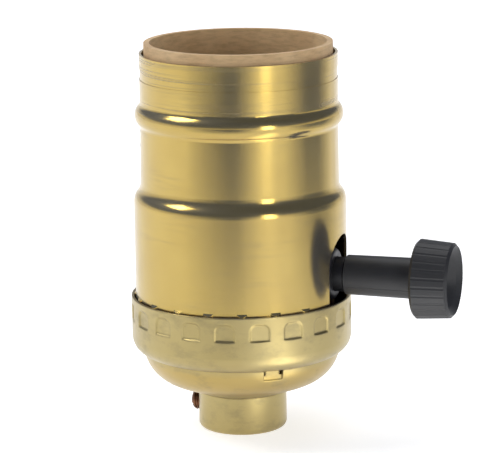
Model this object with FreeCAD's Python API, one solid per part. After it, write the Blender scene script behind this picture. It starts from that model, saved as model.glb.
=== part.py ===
import FreeCAD, Part
import math
import os

# Turn-knob lamp holder for a medium (E26) screw base, in millimetres.
# The origin is the centre of the hub's bottom face, +Z runs up the holder's
# axis and the switch spindle points along +X. Radii build outwards from the
# lamp's thread, and heights build upwards from the hub.

overrun = 1.0                       # how far cutting shapes reach past what they cut

# --- screw shell, medium Edison base: 7 threads to the inch --------------------
thread_minor_r = 12.45              # inside of the crests that hold the lamp
thread_depth = 0.80                 # from the crests out to the grooves
screw_shell_wall = 0.40
screw_shell_height = 24.3
screw_shell_foot_round = 1.3
screw_shell_lip = 0.35              # rolled edge at the mouth
screw_shell_room = 1.50             # to the paper sleeve round it

# --- fibre and paper insulation ----------------------------------------------
sleeve_wall = 0.95
sleeve_rise = 1.75                  # bare edge above the shell
sleeve_clearance = 0.40             # loose paper, to the brass round it
cup_inset = 0.5                     # fibre cup's side inside the sleeve's
cup_wall = 0.8
cup_height = 4.69
cup_hole_r = 6.2
seat_gap = 0.05                     # left under pieces that stand on a curve

# --- pressed brass sheet -----------------------------------------------------
sheet = 0.40                        # wall of the outer shell and of the cap
snap_clearance = 0.05               # left where the shell snaps into the cap

# --- outer shell -------------------------------------------------------------
shell_rise = 3.4                    # top edge above the screw shell's mouth
shoulder_step = 1.27                # lower wall outside the upper one
shoulder_flare = 0.12               # upper wall widens by this down to the shoulder
shoulder_height = 3.1
shoulder_drop = 21.7                # from the top edge to the shoulder
bead_drop = 10.25                   # from the top edge to the rolled bead's middle
bead_rise = 0.89                    # crown of the bead above the wall
bead_half_height = 2.15             # from the middle to where the wall leaves it
bead_fillet = 0.80                  # between the wall and the crown
band_drop = 2.4                     # from the top edge to the shallow rolled band
band_height = 1.8
band_depth = 0.10

# --- interlock of shell and cap ----------------------------------------------
lock_count = 20                     # dimples round the rim, ribs lie between them
lock_height = 0.28                  # of a rib, and depth of a dimple
rib_rise = 0.5                      # how far a rib shows above the rim
rib_end = 0.45                      # height of its sloping end
dimple_width = 3.0
rib_gap = 1.0                       # between a dimple and the ribs at its sides
dimple_height = 2.5
dimple_rise = 3.05                  # flat ledge at its foot, above the rim's foot
dimple_corner = 1.0
dimple_side = 0.3                   # run of its sloping sides
bump_margin = 0.25                  # metal drawn in round each pocket

# --- cap ---------------------------------------------------------------------
rim_height = 6.90                   # upright part of the rim
rim_foot_rise = 1.64                # its foot above the middle of the bowl's round
rim_round = 2.85                    # round at the foot of the rim
crease_step = 1.88                  # bowl's wall inside the rim
bowl_round = 6.65                   # round between the bowl's wall and its cone
bowl_slope_deg = 20.7               # of the cone above the hub
tab_width = 3.3                     # lanced tab in the bowl
tab_height = 1.7
tab_inset = 0.25                    # depth of its ledge
tab_slit = 0.45                     # open slit at each upper corner
tab_angle_deg = -54.0               # round the axis from the spindle

# --- hub, 1/8-27 pipe thread -------------------------------------------------
hub_bore_r = 4.55
hub_wall = 2.90
hub_height = 6.55
hub_edge_round = 0.9
hub_neck_wall = 1.05                # of the neck that passes through the cap
hub_flange_wall = 2.15              # of the neck turned over inside the cap
hub_flange = 0.7
set_screw_r = 1.65
set_screw_z = 3.9
set_screw_proud = 1.3               # beyond the hub
set_screw_back = 0.2                # short of the bore
set_screw_point = 0.4               # chamfer
set_screw_slot = 0.7
set_screw_turn_deg = 35             # of its slot

# --- moulded switch body -----------------------------------------------------
body_clearance = 0.45               # to the sleeve all round
body_lower_height = 12.5            # up to the spindle's axis
body_upper_height = 9.1
boss_wall = 1.5                     # of the neck round the spindle's bushing
boss_round = 0.8
boss_gap = 0.10                     # from its outer edge to the shell
chamber_r = 5.7                     # switch chamber, round the spindle
chamber_wall = 0.7                  # from its end to the rivets
well_r = 6.0                        # wiring well under the body
well_depth = 4.4
island_inset = 6.05                 # raised seat of the centre contact, inside the shell
island_height = 1.2
island_room = 0.6                   # from its side to the screw shell's flange
moulding_gap = 0.08                 # between mouldings and metal let into them

# --- switch ------------------------------------------------------------------
spindle_r = 1.42
rear_bearing = 3.8                  # length
rear_gap = 0.3                      # behind the spindle
end_play = 0.15                     # along the spindle
running_gap = 0.05                  # radial play of the spindle
bushing_wall = 1.48
bushing_flange_r = 4.2
bushing_flange = 0.8
bushing_stand = 1.7                 # beyond the boss, nearly to the knob
rotor_gap = 0.6                     # from the rotor to the chamber's wall
rotor_back = -1.2
rotor_front = 1.6
rotor_hub_r = 2.2
cam_half_flats = 3.4
cam_corner = 0.2                    # how far its corners stand beyond its flats
leaf = 0.30                         # detent leaf
leaf_width = 2.6
leaf_grip = 0.52                    # held in the body at each end
clip_r = 2.9
clip = 0.4
clip_groove_r = 1.05
bridge = 0.55                       # moving contact
bridge_inset = 0.2                  # its ends inside the rotor's edge
bridge_width = 2.8
bridge_ring = 1.0                   # metal round the rotor's hub
bridge_rivet_r = 0.6
bridge_rivet_at = 3.3
contact_gap = 0.10                  # moving contact to fixed contacts

# --- terminals ---------------------------------------------------------------
plate = 0.70                        # terminal plates and straps
plate_inset = 4.05                  # from the body's side to under the plates
plate_half_width = 4.5
plate_foot = 1.0                    # above the body's foot
finger_half_height = 1.4
finger_gap = 0.5                    # from its tip to the rotor's hub
strap_near = 3.4                    # feed strap beside the chamber
strap_margin = 0.33                 # its corner inside the island's edge
neutral_lap = 0.3                   # neutral strap's inner edge inside its plate's side
neutral_outer = 1.7                 # its outer edge, from the rivet's axis
neutral_step = 7.2                  # plate's top above the body's foot
terminal_rise = 4.2                 # screw axis above the body's foot
terminal_screw_r = 1.75
terminal_head_r = 3.1
terminal_head = 1.8
terminal_depth = 4.0                # of the screw's hole in the body
terminal_spare = 0.5                # left beyond the screw's end
terminal_slot = 0.9
recess_margin = 0.7

# --- rivets and centre contact ------------------------------------------------
rivet_angle_deg = 37.5              # round the axis from the spindle
rivet_room = 0.2                    # from a head to the island
rivet_r = 1.1
rivet_head_r = 1.8
rivet_head = 0.9
contact_half_width = 2.0
contact_leaf = 0.45
contact_foot_x = -4.6
contact_rivet_x = -3.1
contact_knee_gap = 0.5              # from the rivet's head to the first bend
contact_rise = 3.2
contact_crest_x = 0.8               # middle of its rounded crest
contact_crest_half = 1.4
contact_crest_drop = 0.55
contact_tip_x = 4.4
contact_tip_drop = 2.0
contact_rivet_r = 0.8
contact_rivet_head_r = 1.45
contact_rivet_head = 0.6

# --- knob --------------------------------------------------------------------
knob_gap = 0.15                     # between the cap's rim and the stem
stem_length = 11.9
stem_start_r = 3.32
stem_end_r = 3.42
stem_fillet = 0.9
head_length = 6.35
head_front_r = 6.20
head_flare = 0.47                   # wider at the back than at the front
head_edge = 0.45
dish_inset = 1.55                   # dish inside the front edge
dish_rim = 0.9                      # sloping ring between the edge and the dish
dish_depth = 2.2
dish_draft = 1.1                    # floor inside the dish's mouth
flute_count = 28
flute_depth = 0.07
flute_r = 0.5
knob_web = 1.3                      # behind the dish
knob_bore_spare = 1.0               # beyond the spindle's end

# --- slots for the boss -------------------------------------------------------
slot_room = 0.9                     # round the boss, in the outer shell
slot_arch_rise = 1.5                # its arch is centred above the spindle
slot_corner = 1.0                   # rounded corners at the open foot
sleeve_slot_gap = 0.5               # round the boss, in the sleeve

# --- radii that follow from the sizes above -----------------------------------
Z_AXIS = FreeCAD.Vector(0, 0, 1)
CENTRE = FreeCAD.Vector(0, 0, 0)
screw_shell_r = thread_minor_r + thread_depth / 2 + screw_shell_wall
sleeve_inner_r = screw_shell_r + screw_shell_room
sleeve_r = sleeve_inner_r + sleeve_wall
shell_upper_r = sleeve_r + sleeve_clearance + sheet
shell_lower_r = shell_upper_r + shoulder_step
shoulder_in_r = shell_upper_r + shoulder_flare
bead_r = shell_upper_r + bead_rise
rim_inner_r = shell_lower_r + snap_clearance + lock_height
rim_r = rim_inner_r + sheet
rim_round_r = rim_r - rim_round
bowl_r = rim_r - crease_step
bowl_centre_r = bowl_r - bowl_round
cup_r = sleeve_inner_r - cup_inset
body_r = sleeve_inner_r - body_clearance
hub_r = hub_bore_r + hub_wall
hub_neck_r = hub_bore_r + hub_neck_wall
hub_flange_r = hub_bore_r + hub_flange_wall
island_r = screw_shell_r - island_inset
bushing_r = spindle_r + bushing_wall
boss_r = bushing_r + boss_wall
cam_corner_r = cam_half_flats + cam_corner
leaf_at = cam_corner_r + running_gap
head_back_r = head_front_r + head_flare
dish_r = head_front_r - dish_inset
slot_half_width = boss_r + slot_room
lock_pitch_deg = 360 / lock_count
rib_width = math.radians(lock_pitch_deg) * rim_inner_r - dimple_width - rib_gap

# --- places along and across the spindle --------------------------------------
rivet_ring_r = island_r + rivet_room + rivet_head_r
rivet_x = rivet_ring_r * math.cos(math.radians(rivet_angle_deg))
rivet_y = rivet_ring_r * math.sin(math.radians(rivet_angle_deg))
chamber_half_length = rivet_x - rivet_r - chamber_wall
spindle_back = -chamber_half_length - rear_bearing
square_start = clip + end_play - chamber_half_length
square_end = chamber_half_length - bushing_flange - end_play
finger_x = rotor_front + bridge + contact_gap
finger_tip = rotor_hub_r + finger_gap
strap_far = math.sqrt((island_r - strap_margin) ** 2 - (finger_x + plate) ** 2)
leaf_half_length = math.sqrt(chamber_r ** 2 - leaf_at ** 2) + leaf_grip
plate_y = body_r - plate_inset
neutral_near = plate_half_width - neutral_lap
neutral_far = rivet_x + neutral_outer
neutral_tab_y = rivet_y - rivet_head_r
boss_reach = math.sqrt((shell_lower_r - sheet - boss_gap) ** 2 - boss_r ** 2)
bushing_reach = boss_reach + bushing_stand
stem_start = rim_r + knob_gap
head_back = stem_start + stem_length
head_front = head_back + head_length
knob_bore_end = head_front - dish_depth - knob_web
spindle_end = knob_bore_end - knob_bore_spare


def depth_on_arc(radius, arc_r, arc_centre_r):
    """Drop below an arc's centre where the arc has the given radius from the axis."""
    return math.sqrt(arc_r ** 2 - (radius - arc_centre_r) ** 2)


# --- heights, from the hub upwards ---------------------------------------------
bowl_slope = math.radians(bowl_slope_deg)
cone_end_r = bowl_centre_r + bowl_round * math.sin(bowl_slope)
cone_end_z = hub_height + (cone_end_r - hub_r) * math.tan(bowl_slope)
bowl_centre_z = cone_end_z + bowl_round * math.cos(bowl_slope)
rim_foot_z = bowl_centre_z + rim_foot_rise
rim_top_z = rim_foot_z + rim_height
dimple_low_z = rim_foot_z + dimple_rise
crease_z = rim_foot_z - depth_on_arc(bowl_r, rim_round, rim_round_r)
crease_r = bowl_centre_r + depth_on_arc(crease_z, bowl_round, bowl_centre_z)
shell_foot_z = rim_foot_z - depth_on_arc(shell_lower_r, rim_round - sheet, rim_round_r) + seat_gap
cup_z = bowl_centre_z - depth_on_arc(cup_r, bowl_round - sheet, bowl_centre_r) + seat_gap
body_z = cup_z + cup_height
spindle_z = body_z + body_lower_height
body_top_z = spindle_z + body_upper_height
island_top_z = body_top_z + island_height
screw_shell_top_z = body_top_z + screw_shell_height
shell_top_z = screw_shell_top_z + shell_rise
bead_z = shell_top_z - bead_drop
shoulder_high_z = shell_top_z - shoulder_drop
shoulder_low_z = shoulder_high_z - shoulder_height
band_high_z = shell_top_z - band_drop
band_low_z = band_high_z - band_height
terminal_z = body_z + terminal_rise
plate_z = body_z + plate_foot
neutral_step_z = body_z + neutral_step
neutral_strap_z = neutral_step_z - plate_half_width
finger_low_z = spindle_z - finger_half_height
finger_high_z = spindle_z + finger_half_height
contact_tail_z = spindle_z + chamber_r + contact_rivet_head


# --- small tools ---------------------------------------------------------------
def point(r, z):
    """Point of a half section, in the plane Y = 0."""
    return FreeCAD.Vector(r, 0, z)


def line(start, end):
    return Part.makeLine(start, end)


def arc(start, middle, end):
    return Part.Arc(start, middle, end).toShape()


def arc_about(centre, radius, start_deg, end_deg):
    """Arc of a half section; angles run from +R towards +Z."""
    ends = []
    for angle_deg in (start_deg, (start_deg + end_deg) / 2, end_deg):
        angle = math.radians(angle_deg)
        offset = FreeCAD.Vector(radius * math.cos(angle), 0, radius * math.sin(angle))
        ends.append(centre + offset)
    return arc(*ends)


def polyline(points):
    return [line(a, b) for a, b in zip(points, points[1:])]


def turned(edges, centre=CENTRE, axis=Z_AXIS):
    """Solid of revolution from the edges of a closed half section."""
    face = Part.Face(Part.Wire(Part.__sortEdges__(edges)))
    return face.revolve(centre, axis, 360)


def turned_sheet(edges, wall):
    """Sheet of revolution: the edges are its outer face, from foot to top."""
    outer = Part.Wire(edges)
    inner = outer.makeOffset2D(wall, 0, False, True, True)
    foot = line(outer.OrderedVertexes[0].Point, inner.OrderedVertexes[0].Point)
    top = line(outer.OrderedVertexes[-1].Point, inner.OrderedVertexes[-1].Point)
    return turned(outer.Edges + inner.Edges + [foot, top])


def slab(x, y, z):
    """Box between two values of each coordinate."""
    corner = FreeCAD.Vector(x[0], y[0], z[0])
    return Part.makeBox(x[1] - x[0], y[1] - y[0], z[1] - z[0], corner)


def rod(radius, x=(0, 0), y=(0, 0), z=(0, 0)):
    """Cylinder along the one coordinate whose two values differ."""
    start = FreeCAD.Vector(x[0], y[0], z[0])
    run = FreeCAD.Vector(x[1], y[1], z[1]) - start
    return Part.makeCylinder(radius, run.Length, start, run)


def ring(outer_r, inner_r, z):
    return rod(outer_r, z=z).cut(rod(inner_r, z=z))


def prism(edges, run):
    return Part.Face(Part.Wire(Part.__sortEdges__(edges))).extrude(run)


def round_the_axis(shape, angles_deg):
    copies = []
    for angle in angles_deg:
        copy = shape.copy()
        copy.rotate(CENTRE, Z_AXIS, angle)
        copies.append(copy)
    return copies


def arch(half_width, centre_z, foot_z, x):
    """Upside-down U along X, with a round top, open down to foot_z."""
    low_left = FreeCAD.Vector(x[0], -half_width, foot_z)
    left = FreeCAD.Vector(x[0], -half_width, centre_z)
    crown = FreeCAD.Vector(x[0], 0, centre_z + half_width)
    right = FreeCAD.Vector(x[0], half_width, centre_z)
    low_right = FreeCAD.Vector(x[0], half_width, foot_z)
    edges = [line(low_left, left), arc(left, crown, right), line(right, low_right)]
    edges.append(line(low_right, low_left))
    return prism(edges, FreeCAD.Vector(x[1] - x[0], 0, 0))


# --- outer shell ---------------------------------------------------------------
def shoulder():
    """Two equal arcs that lead from the lower wall in to the upper one."""
    rise = shoulder_high_z - shoulder_low_z
    step = shell_lower_r - shoulder_in_r
    bend = (rise ** 2 + step ** 2) / (4 * step)
    sweep_deg = math.degrees(math.asin(rise / 2 / bend))
    low_centre = point(shell_lower_r - bend, shoulder_low_z)
    high_centre = point(shoulder_in_r + bend, shoulder_high_z)
    low = arc_about(low_centre, bend, 0, sweep_deg)
    high = arc_about(high_centre, bend, 180 + sweep_deg, 180)
    return [low, high]


def bead():
    """Rolled bead: a crown between two fillets that meet it tangentially."""
    rise = bead_r - shell_upper_r
    crown = (bead_half_height ** 2 + rise ** 2 - 2 * rise * bead_fillet) / (2 * rise)
    reach_deg = math.degrees(math.asin(bead_half_height / (crown + bead_fillet)))
    low_centre = point(shell_upper_r + bead_fillet, bead_z - bead_half_height)
    high_centre = point(shell_upper_r + bead_fillet, bead_z + bead_half_height)
    low = arc_about(low_centre, bead_fillet, 180, 180 - reach_deg)
    middle = arc_about(point(bead_r - crown, bead_z), crown, -reach_deg, reach_deg)
    high = arc_about(high_centre, bead_fillet, 180 + reach_deg, 180)
    return [low, middle, high]


def shell_slot():
    """Opening for the boss, with its lower corners rounded away."""
    x = (0, rim_r)
    slot = arch(slot_half_width, spindle_z + slot_arch_rise, shell_foot_z - overrun, x)
    for side in (-1, 1):
        edge = side * slot_half_width
        outer = edge + side * slot_corner
        y = sorted((edge, outer))
        corner = slab(x, y, (shell_foot_z - overrun, shell_foot_z + slot_corner))
        corner = corner.cut(rod(slot_corner, x, (outer, outer), (shell_foot_z + slot_corner,) * 2))
        slot = slot.fuse(corner)
    return slot


def lock_rib():
    """Upright rib, pressed out of the wall, with a sloping end just above the rim."""
    bend = (rib_width ** 2 / 4 + lock_height ** 2) / (2 * lock_height)
    centre_r = shell_lower_r + lock_height - bend
    inner_r = shell_lower_r - sheet / 2
    top_z = rim_top_z + rib_rise
    beyond = point(shell_lower_r + 2 * lock_height, top_z - 2 * rib_end)
    corners = [point(inner_r, rim_foot_z), point(beyond.x, rim_foot_z), beyond]
    corners += [point(shell_lower_r, top_z), point(inner_r, top_z), point(inner_r, rim_foot_z)]
    upright = rod(bend, (centre_r,) * 2, z=(rim_foot_z, top_z))
    return upright.common(turned(polyline(corners)))


def outer_shell():
    foot = point(shell_lower_r, shell_foot_z)
    edges = [line(foot, point(shell_lower_r, shoulder_low_z))]
    edges += shoulder()
    bead_low = point(shell_upper_r, bead_z - bead_half_height)
    bead_high = point(shell_upper_r, bead_z + bead_half_height)
    edges.append(line(point(shoulder_in_r, shoulder_high_z), bead_low))
    edges += bead()
    edges.append(line(bead_high, point(shell_upper_r, shell_top_z)))
    shell = turned_sheet(edges, sheet)
    band = ring(shell_upper_r + overrun, shell_upper_r - band_depth, (band_low_z, band_high_z))
    slot_half_deg = math.degrees((slot_half_width + rib_width / 2) / shell_lower_r)
    angles = [turn * lock_pitch_deg for turn in range(lock_count)]
    angles = [angle for angle in angles if slot_half_deg < angle < 360 - slot_half_deg]
    ribs = round_the_axis(lock_rib(), angles)
    return shell.cut(band).fuse(ribs).cut(shell_slot()).removeSplitter()


# --- cap -------------------------------------------------------------------------
def pocket_outline(x, grow):
    """Window shape across X, with a flat foot and rounded upper corners."""
    half_width = dimple_width / 2 + grow
    corner = dimple_corner + grow
    low_z = dimple_low_z - grow
    high_z = dimple_low_z + dimple_height + grow
    turn = corner * (1 - math.sqrt(0.5))
    low_left = FreeCAD.Vector(x, -half_width, low_z)
    left = FreeCAD.Vector(x, -half_width, high_z - corner)
    left_mid = FreeCAD.Vector(x, -half_width + turn, high_z - turn)
    left_top = FreeCAD.Vector(x, -half_width + corner, high_z)
    right_top = FreeCAD.Vector(x, half_width - corner, high_z)
    right_mid = FreeCAD.Vector(x, half_width - turn, high_z - turn)
    right = FreeCAD.Vector(x, half_width, high_z - corner)
    low_right = FreeCAD.Vector(x, half_width, low_z)
    edges = [line(low_left, left), arc(left, left_mid, left_top)]
    edges += [line(left_top, right_top), arc(right_top, right_mid, right)]
    edges += [line(right, low_right), line(low_right, low_left)]
    return Part.Wire(edges)


def cap_outline():
    """Outer face of the cap's half section: base, cone, bowl, crease and upright rim."""
    base = point(hub_neck_r, hub_height)
    cone_start = point(hub_r, hub_height)
    cone_end = point(cone_end_r, cone_end_z)
    crease = point(crease_r, crease_z)
    bowl_deg = math.degrees(math.asin((bowl_centre_z - crease_z) / bowl_round))
    bowl_centre = point(bowl_centre_r, bowl_centre_z)
    rim_deg = math.degrees(math.asin((rim_foot_z - crease_z) / rim_round))
    rim_centre = point(rim_round_r, rim_foot_z)
    edges = polyline([base, cone_start, cone_end])
    edges.append(arc_about(bowl_centre, bowl_round, bowl_slope_deg - 90, -bowl_deg))
    foot = arc_about(rim_centre, rim_round, -rim_deg, 0)
    edges.append(line(crease, foot.Vertexes[0].Point))
    edges.append(foot)
    edges.append(line(point(rim_r, rim_foot_z), point(rim_r, rim_top_z)))
    return edges


def cap_envelope():
    """The space inside the cap's outer face."""
    closing = [point(rim_r, rim_top_z), point(0, rim_top_z)]
    closing += [point(0, hub_height), point(hub_neck_r, hub_height)]
    return turned(cap_outline() + polyline(closing))


def dimples():
    """Pockets with sloping sides, pressed into the rim, and the metal they push inwards."""
    angles = [(turn + 0.5) * lock_pitch_deg for turn in range(lock_count)]
    floor_x = rim_r - lock_height
    mouth_x = rim_r + overrun
    mouth_grow = dimple_side * (mouth_x - floor_x) / lock_height
    pressed = Part.makeLoft([pocket_outline(floor_x, 0), pocket_outline(mouth_x, mouth_grow)], True, True)
    drawn_run = FreeCAD.Vector(lock_height + sheet / 4, 0, 0)
    drawn = Part.Face(pocket_outline(rim_inner_r - lock_height, bump_margin)).extrude(drawn_run)
    return round_the_axis(pressed, angles), round_the_axis(drawn, angles)


def lanced_tab():
    """Tab cut free at two slits and set back behind a ledge in the bowl."""
    high_z = crease_z
    low_z = high_z - tab_height
    ledge_r = bowl_centre_r + depth_on_arc(low_z, bowl_round, bowl_centre_z)
    face_x = ledge_r - tab_inset
    half = tab_width / 2
    y = (-half - bump_margin, half + bump_margin)
    drawn = slab((face_x - sheet, rim_r), y, (low_z - bump_margin, high_z + bump_margin))
    pressed = slab((face_x, rim_r), (-half, half), (low_z, high_z))
    slits = []
    for side in (-1, 1):
        edge = sorted((side * half, side * (half - tab_slit)))
        slits.append(slab((face_x - overrun, rim_r), edge, (high_z - tab_height / 2, high_z)))
    pressed = round_the_axis(pressed.fuse(slits), [tab_angle_deg])
    drawn = round_the_axis(drawn, [tab_angle_deg])
    return pressed, [drawn[0].common(cap_envelope())]


def cap():
    pockets, bumps = dimples()
    tab_pocket, tab_bump = lanced_tab()
    body = turned_sheet(cap_outline(), sheet).fuse(bumps + tab_bump)
    return body.cut(pockets + tab_pocket).removeSplitter()


# --- hub -------------------------------------------------------------------------
def hub_screw_hole():
    reach = (-hub_r - overrun, 0)
    return rod(set_screw_r, x=reach, z=(set_screw_z, set_screw_z))


def cap_hub():
    """Turned hub whose neck goes through the cap and is staked over inside."""
    stake_z = hub_height + sheet
    top_z = stake_z + hub_flange
    round_centre = point(hub_r - hub_edge_round, hub_edge_round)
    edges = [line(point(hub_bore_r, 0), point(hub_r - hub_edge_round, 0))]
    edges.append(arc_about(round_centre, hub_edge_round, -90, 0))
    outline = [point(hub_r, hub_edge_round), point(hub_r, hub_height)]
    outline += [point(hub_neck_r, hub_height), point(hub_neck_r, stake_z)]
    outline += [point(hub_flange_r, stake_z), point(hub_flange_r - hub_flange / 2, top_z)]
    outline += [point(hub_bore_r, top_z), point(hub_bore_r, 0)]
    edges += polyline(outline)
    return turned(edges).cut(hub_screw_hole())


def hub_set_screw():
    tip = -hub_bore_r - set_screw_back
    end = -hub_r - set_screw_proud
    body = rod(set_screw_r, x=(end, tip), z=(set_screw_z, set_screw_z))
    rims = [edge for edge in body.Edges if edge.BoundBox.XLength < 0.01]
    body = body.makeChamfer(set_screw_point, rims)
    half = set_screw_slot / 2
    across = (-set_screw_r - overrun, set_screw_r + overrun)
    slot = slab((end - overrun, end + set_screw_slot), across, (set_screw_z - half, set_screw_z + half))
    slot.rotate(FreeCAD.Vector(0, 0, set_screw_z), FreeCAD.Vector(1, 0, 0), set_screw_turn_deg)
    return body.cut(slot)


# --- insulation --------------------------------------------------------------------
def insulating_sleeve():
    z = (body_z, shell_top_z + sleeve_rise)
    tube = ring(sleeve_r, sleeve_inner_r, z)
    slot = arch(boss_r + sleeve_slot_gap, spindle_z, z[0] - overrun, (0, rim_r))
    return tube.cut(slot)


def cap_liner():
    """Shallow fibre cup that carries the switch body clear of the cap."""
    cup = rod(cup_r, z=(cup_z, cup_z + cup_height))
    cup = cup.cut(rod(cup_r - cup_wall, z=(cup_z + cup_wall, cup_z + cup_height)))
    return cup.cut(rod(cup_hole_r, z=(cup_z - overrun, cup_z + cup_height)))


# --- switch body ---------------------------------------------------------------------
def grown(shape_x, shape_y, shape_z):
    """Box with the moulding's clearance all round."""
    spans = []
    for low, high in (shape_x, shape_y, shape_z):
        spans.append((low - moulding_gap, high + moulding_gap))
    return slab(*spans)


def rivet_places():
    return [(rivet_x, rivet_y), (-rivet_x, -rivet_y)]


def body_blank():
    body = rod(body_r, z=(body_z, body_top_z))
    body = body.fuse(rod(island_r, z=(body_z, island_top_z)))
    boss = rod(boss_r, x=(0, boss_reach), z=(spindle_z, spindle_z))
    rim_edges = [edge for edge in boss.Edges if edge.BoundBox.XMin > boss_reach - 0.01]
    boss = boss.makeFillet(boss_round, rim_edges)
    return body.fuse(boss)


def switch_chamber():
    axis = (spindle_z, spindle_z)
    chamber = rod(chamber_r, x=(-chamber_half_length, chamber_half_length), z=axis)
    bore = rod(bushing_r + moulding_gap, x=(0, boss_reach + overrun), z=axis)
    bearing = rod(spindle_r + running_gap, x=(spindle_back - rear_gap, 0), z=axis)
    leaf_pocket = grown(*leaf_box())
    return chamber.fuse([bore, bearing, leaf_pocket])


def terminal_recess(side, x, z):
    """Flat cut in the body's side that a terminal plate lies in."""
    y = sorted((side * plate_y, side * (body_r + overrun)))
    return slab((x[0] - recess_margin, x[1] + recess_margin), y, (z[0], z[1] + recess_margin))


def terminal_hole(side):
    inner = side * (plate_y - terminal_depth)
    return rod(terminal_screw_r + moulding_gap, y=(inner, side * body_r), z=(terminal_z,) * 2)


def body_cuts():
    """Everything let into the two mouldings."""
    cuts = [switch_chamber()]
    cuts.append(rod(well_r, z=(body_z - overrun, body_z + well_depth)))
    hot_x = (-plate_half_width, finger_x + plate)
    cuts.append(terminal_recess(-1, hot_x, (body_z, finger_high_z)))
    cuts.append(terminal_recess(1, (-plate_half_width, plate_half_width), (body_z, neutral_step_z)))
    strap_z = (neutral_strap_z - recess_margin, body_top_z)
    cuts.append(terminal_recess(1, (neutral_near, neutral_far), strap_z))
    cuts += [terminal_hole(-1), terminal_hole(1)]
    finger = (finger_x, finger_x + plate)
    fingers_z = (finger_low_z, finger_high_z)
    cuts.append(grown(finger, (-body_r, 0), fingers_z))
    cuts.append(grown(finger, (0, strap_far), fingers_z))
    cuts.append(grown(finger, (strap_near, strap_far), (spindle_z, island_top_z + overrun)))
    tab_z = (body_top_z - plate, body_top_z + overrun)
    cuts.append(grown((neutral_near, neutral_far), (neutral_tab_y, body_r), tab_z))
    for x, y in rivet_places():
        cuts.append(rod(rivet_r + moulding_gap, (x, x), (y, y), (body_z - overrun, body_top_z + overrun)))
        head_z = (body_z - overrun, body_z + rivet_head + moulding_gap)
        cuts.append(rod(rivet_head_r + moulding_gap, (x, x), (y, y), head_z))
    hole_x = (contact_rivet_x, contact_rivet_x)
    cuts.append(rod(contact_rivet_r + moulding_gap, hole_x, z=(spindle_z, island_top_z + overrun)))
    tail_z = (spindle_z, contact_tail_z + moulding_gap)
    cuts.append(rod(contact_rivet_head_r + moulding_gap, hole_x, z=tail_z))
    return cuts


def body_half(z):
    half = slab((-rim_r, rim_r), (-rim_r, rim_r), z)
    return body_blank().cut(body_cuts()).common(half).removeSplitter()


def body_lower():
    return body_half((body_z, spindle_z))


def body_upper():
    return body_half((spindle_z, island_top_z))


def body_rivets():
    """Two long rivets through the screw shell and both mouldings."""
    seat_z = body_top_z + screw_shell_wall
    rivets = []
    for x, y in rivet_places():
        shank = rod(rivet_r, (x, x), (y, y), (body_z, seat_z))
        head = rod(rivet_head_r, (x, x), (y, y), (seat_z, seat_z + rivet_head))
        rims = [edge for edge in head.Edges if edge.BoundBox.ZMin > seat_z + rivet_head - 0.01]
        head = head.makeFillet(rivet_head * 0.6, rims)
        tail = rod(rivet_head_r, (x, x), (y, y), (body_z, body_z + rivet_head))
        rivets.append(shank.fuse([head, tail]).removeSplitter())
    return Part.makeCompound(rivets)


# --- screw shell -----------------------------------------------------------------------
def screw_shell():
    """Drawn shell that takes the lamp's thread, with a riveted flange at its foot."""
    wall_low = point(screw_shell_r, body_top_z + screw_shell_foot_round)
    wall_high = point(screw_shell_r, screw_shell_top_z - screw_shell_lip)
    lip = point(screw_shell_r + screw_shell_lip, screw_shell_top_z)
    foot_end = point(screw_shell_r - screw_shell_foot_round, body_top_z)
    foot_centre = point(foot_end.x, wall_low.z)
    edges = [line(point(island_r + island_room, body_top_z), foot_end)]
    edges.append(arc_about(foot_centre, screw_shell_foot_round, -90, 0))
    edges += polyline([wall_low, wall_high, lip])
    holes = []
    for x, y in rivet_places():
        holes.append(rod(rivet_r, (x, x), (y, y), (body_top_z - overrun, screw_shell_top_z)))
    return turned_sheet(edges, screw_shell_wall).cut(holes)


# --- terminals ------------------------------------------------------------------------
def terminal_plate(side, x, high_z):
    y = sorted((side * plate_y, side * (plate_y + plate)))
    sheet_part = slab(x, y, (plate_z, high_z))
    return sheet_part.cut(rod(terminal_screw_r, y=(y[0] - overrun, y[1] + overrun), z=(terminal_z,) * 2))


def hot_terminal_plate():
    """Plate on the body's side with a finger that reaches the moving contact."""
    finger = (finger_x, finger_x + plate)
    body = terminal_plate(-1, (-plate_half_width, finger[1]), finger_high_z)
    reach = slab(finger, (-plate_y - plate, -finger_tip), (finger_low_z, finger_high_z))
    return body.fuse(reach).removeSplitter()


def neutral_terminal_plate():
    """Plate on the other side, led up and over to the screw shell's rivet."""
    body = terminal_plate(1, (-plate_half_width, plate_half_width), neutral_step_z)
    outer_y = plate_y + plate
    strap = slab((neutral_near, neutral_far), (plate_y, outer_y),
                 (neutral_strap_z, body_top_z))
    tab = slab((neutral_near, neutral_far), (neutral_tab_y, outer_y),
               (body_top_z - plate, body_top_z))
    tab = tab.cut(rod(rivet_r, (rivet_x,) * 2, (rivet_y,) * 2, (body_z, screw_shell_top_z)))
    return body.fuse([strap, tab]).removeSplitter()


def terminal_screw(side):
    """Slotted screw whose head clamps a wire on the terminal plate."""
    seat = side * (plate_y + plate)
    top = seat + side * terminal_head
    end = side * (plate_y - terminal_depth + terminal_spare)
    shank = rod(terminal_screw_r, y=(end, seat), z=(terminal_z,) * 2)
    head = rod(terminal_head_r, y=(seat, top), z=(terminal_z,) * 2)
    rims = [edge for edge in head.Edges
            if edge.BoundBox.YLength < 0.01 and abs(edge.BoundBox.YMin - top) < 0.01]
    head = head.makeFillet(terminal_head / 3, rims)
    across = (-terminal_head_r - overrun, terminal_head_r + overrun)
    slot_y = sorted((top - side * terminal_slot, top + side * overrun))
    slot = slab(across, slot_y, (terminal_z - terminal_slot / 2, terminal_z + terminal_slot / 2))
    return shank.fuse(head).cut(slot).removeSplitter()


def hot_terminal_screw():
    return terminal_screw(-1)


def neutral_terminal_screw():
    return terminal_screw(1)


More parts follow.
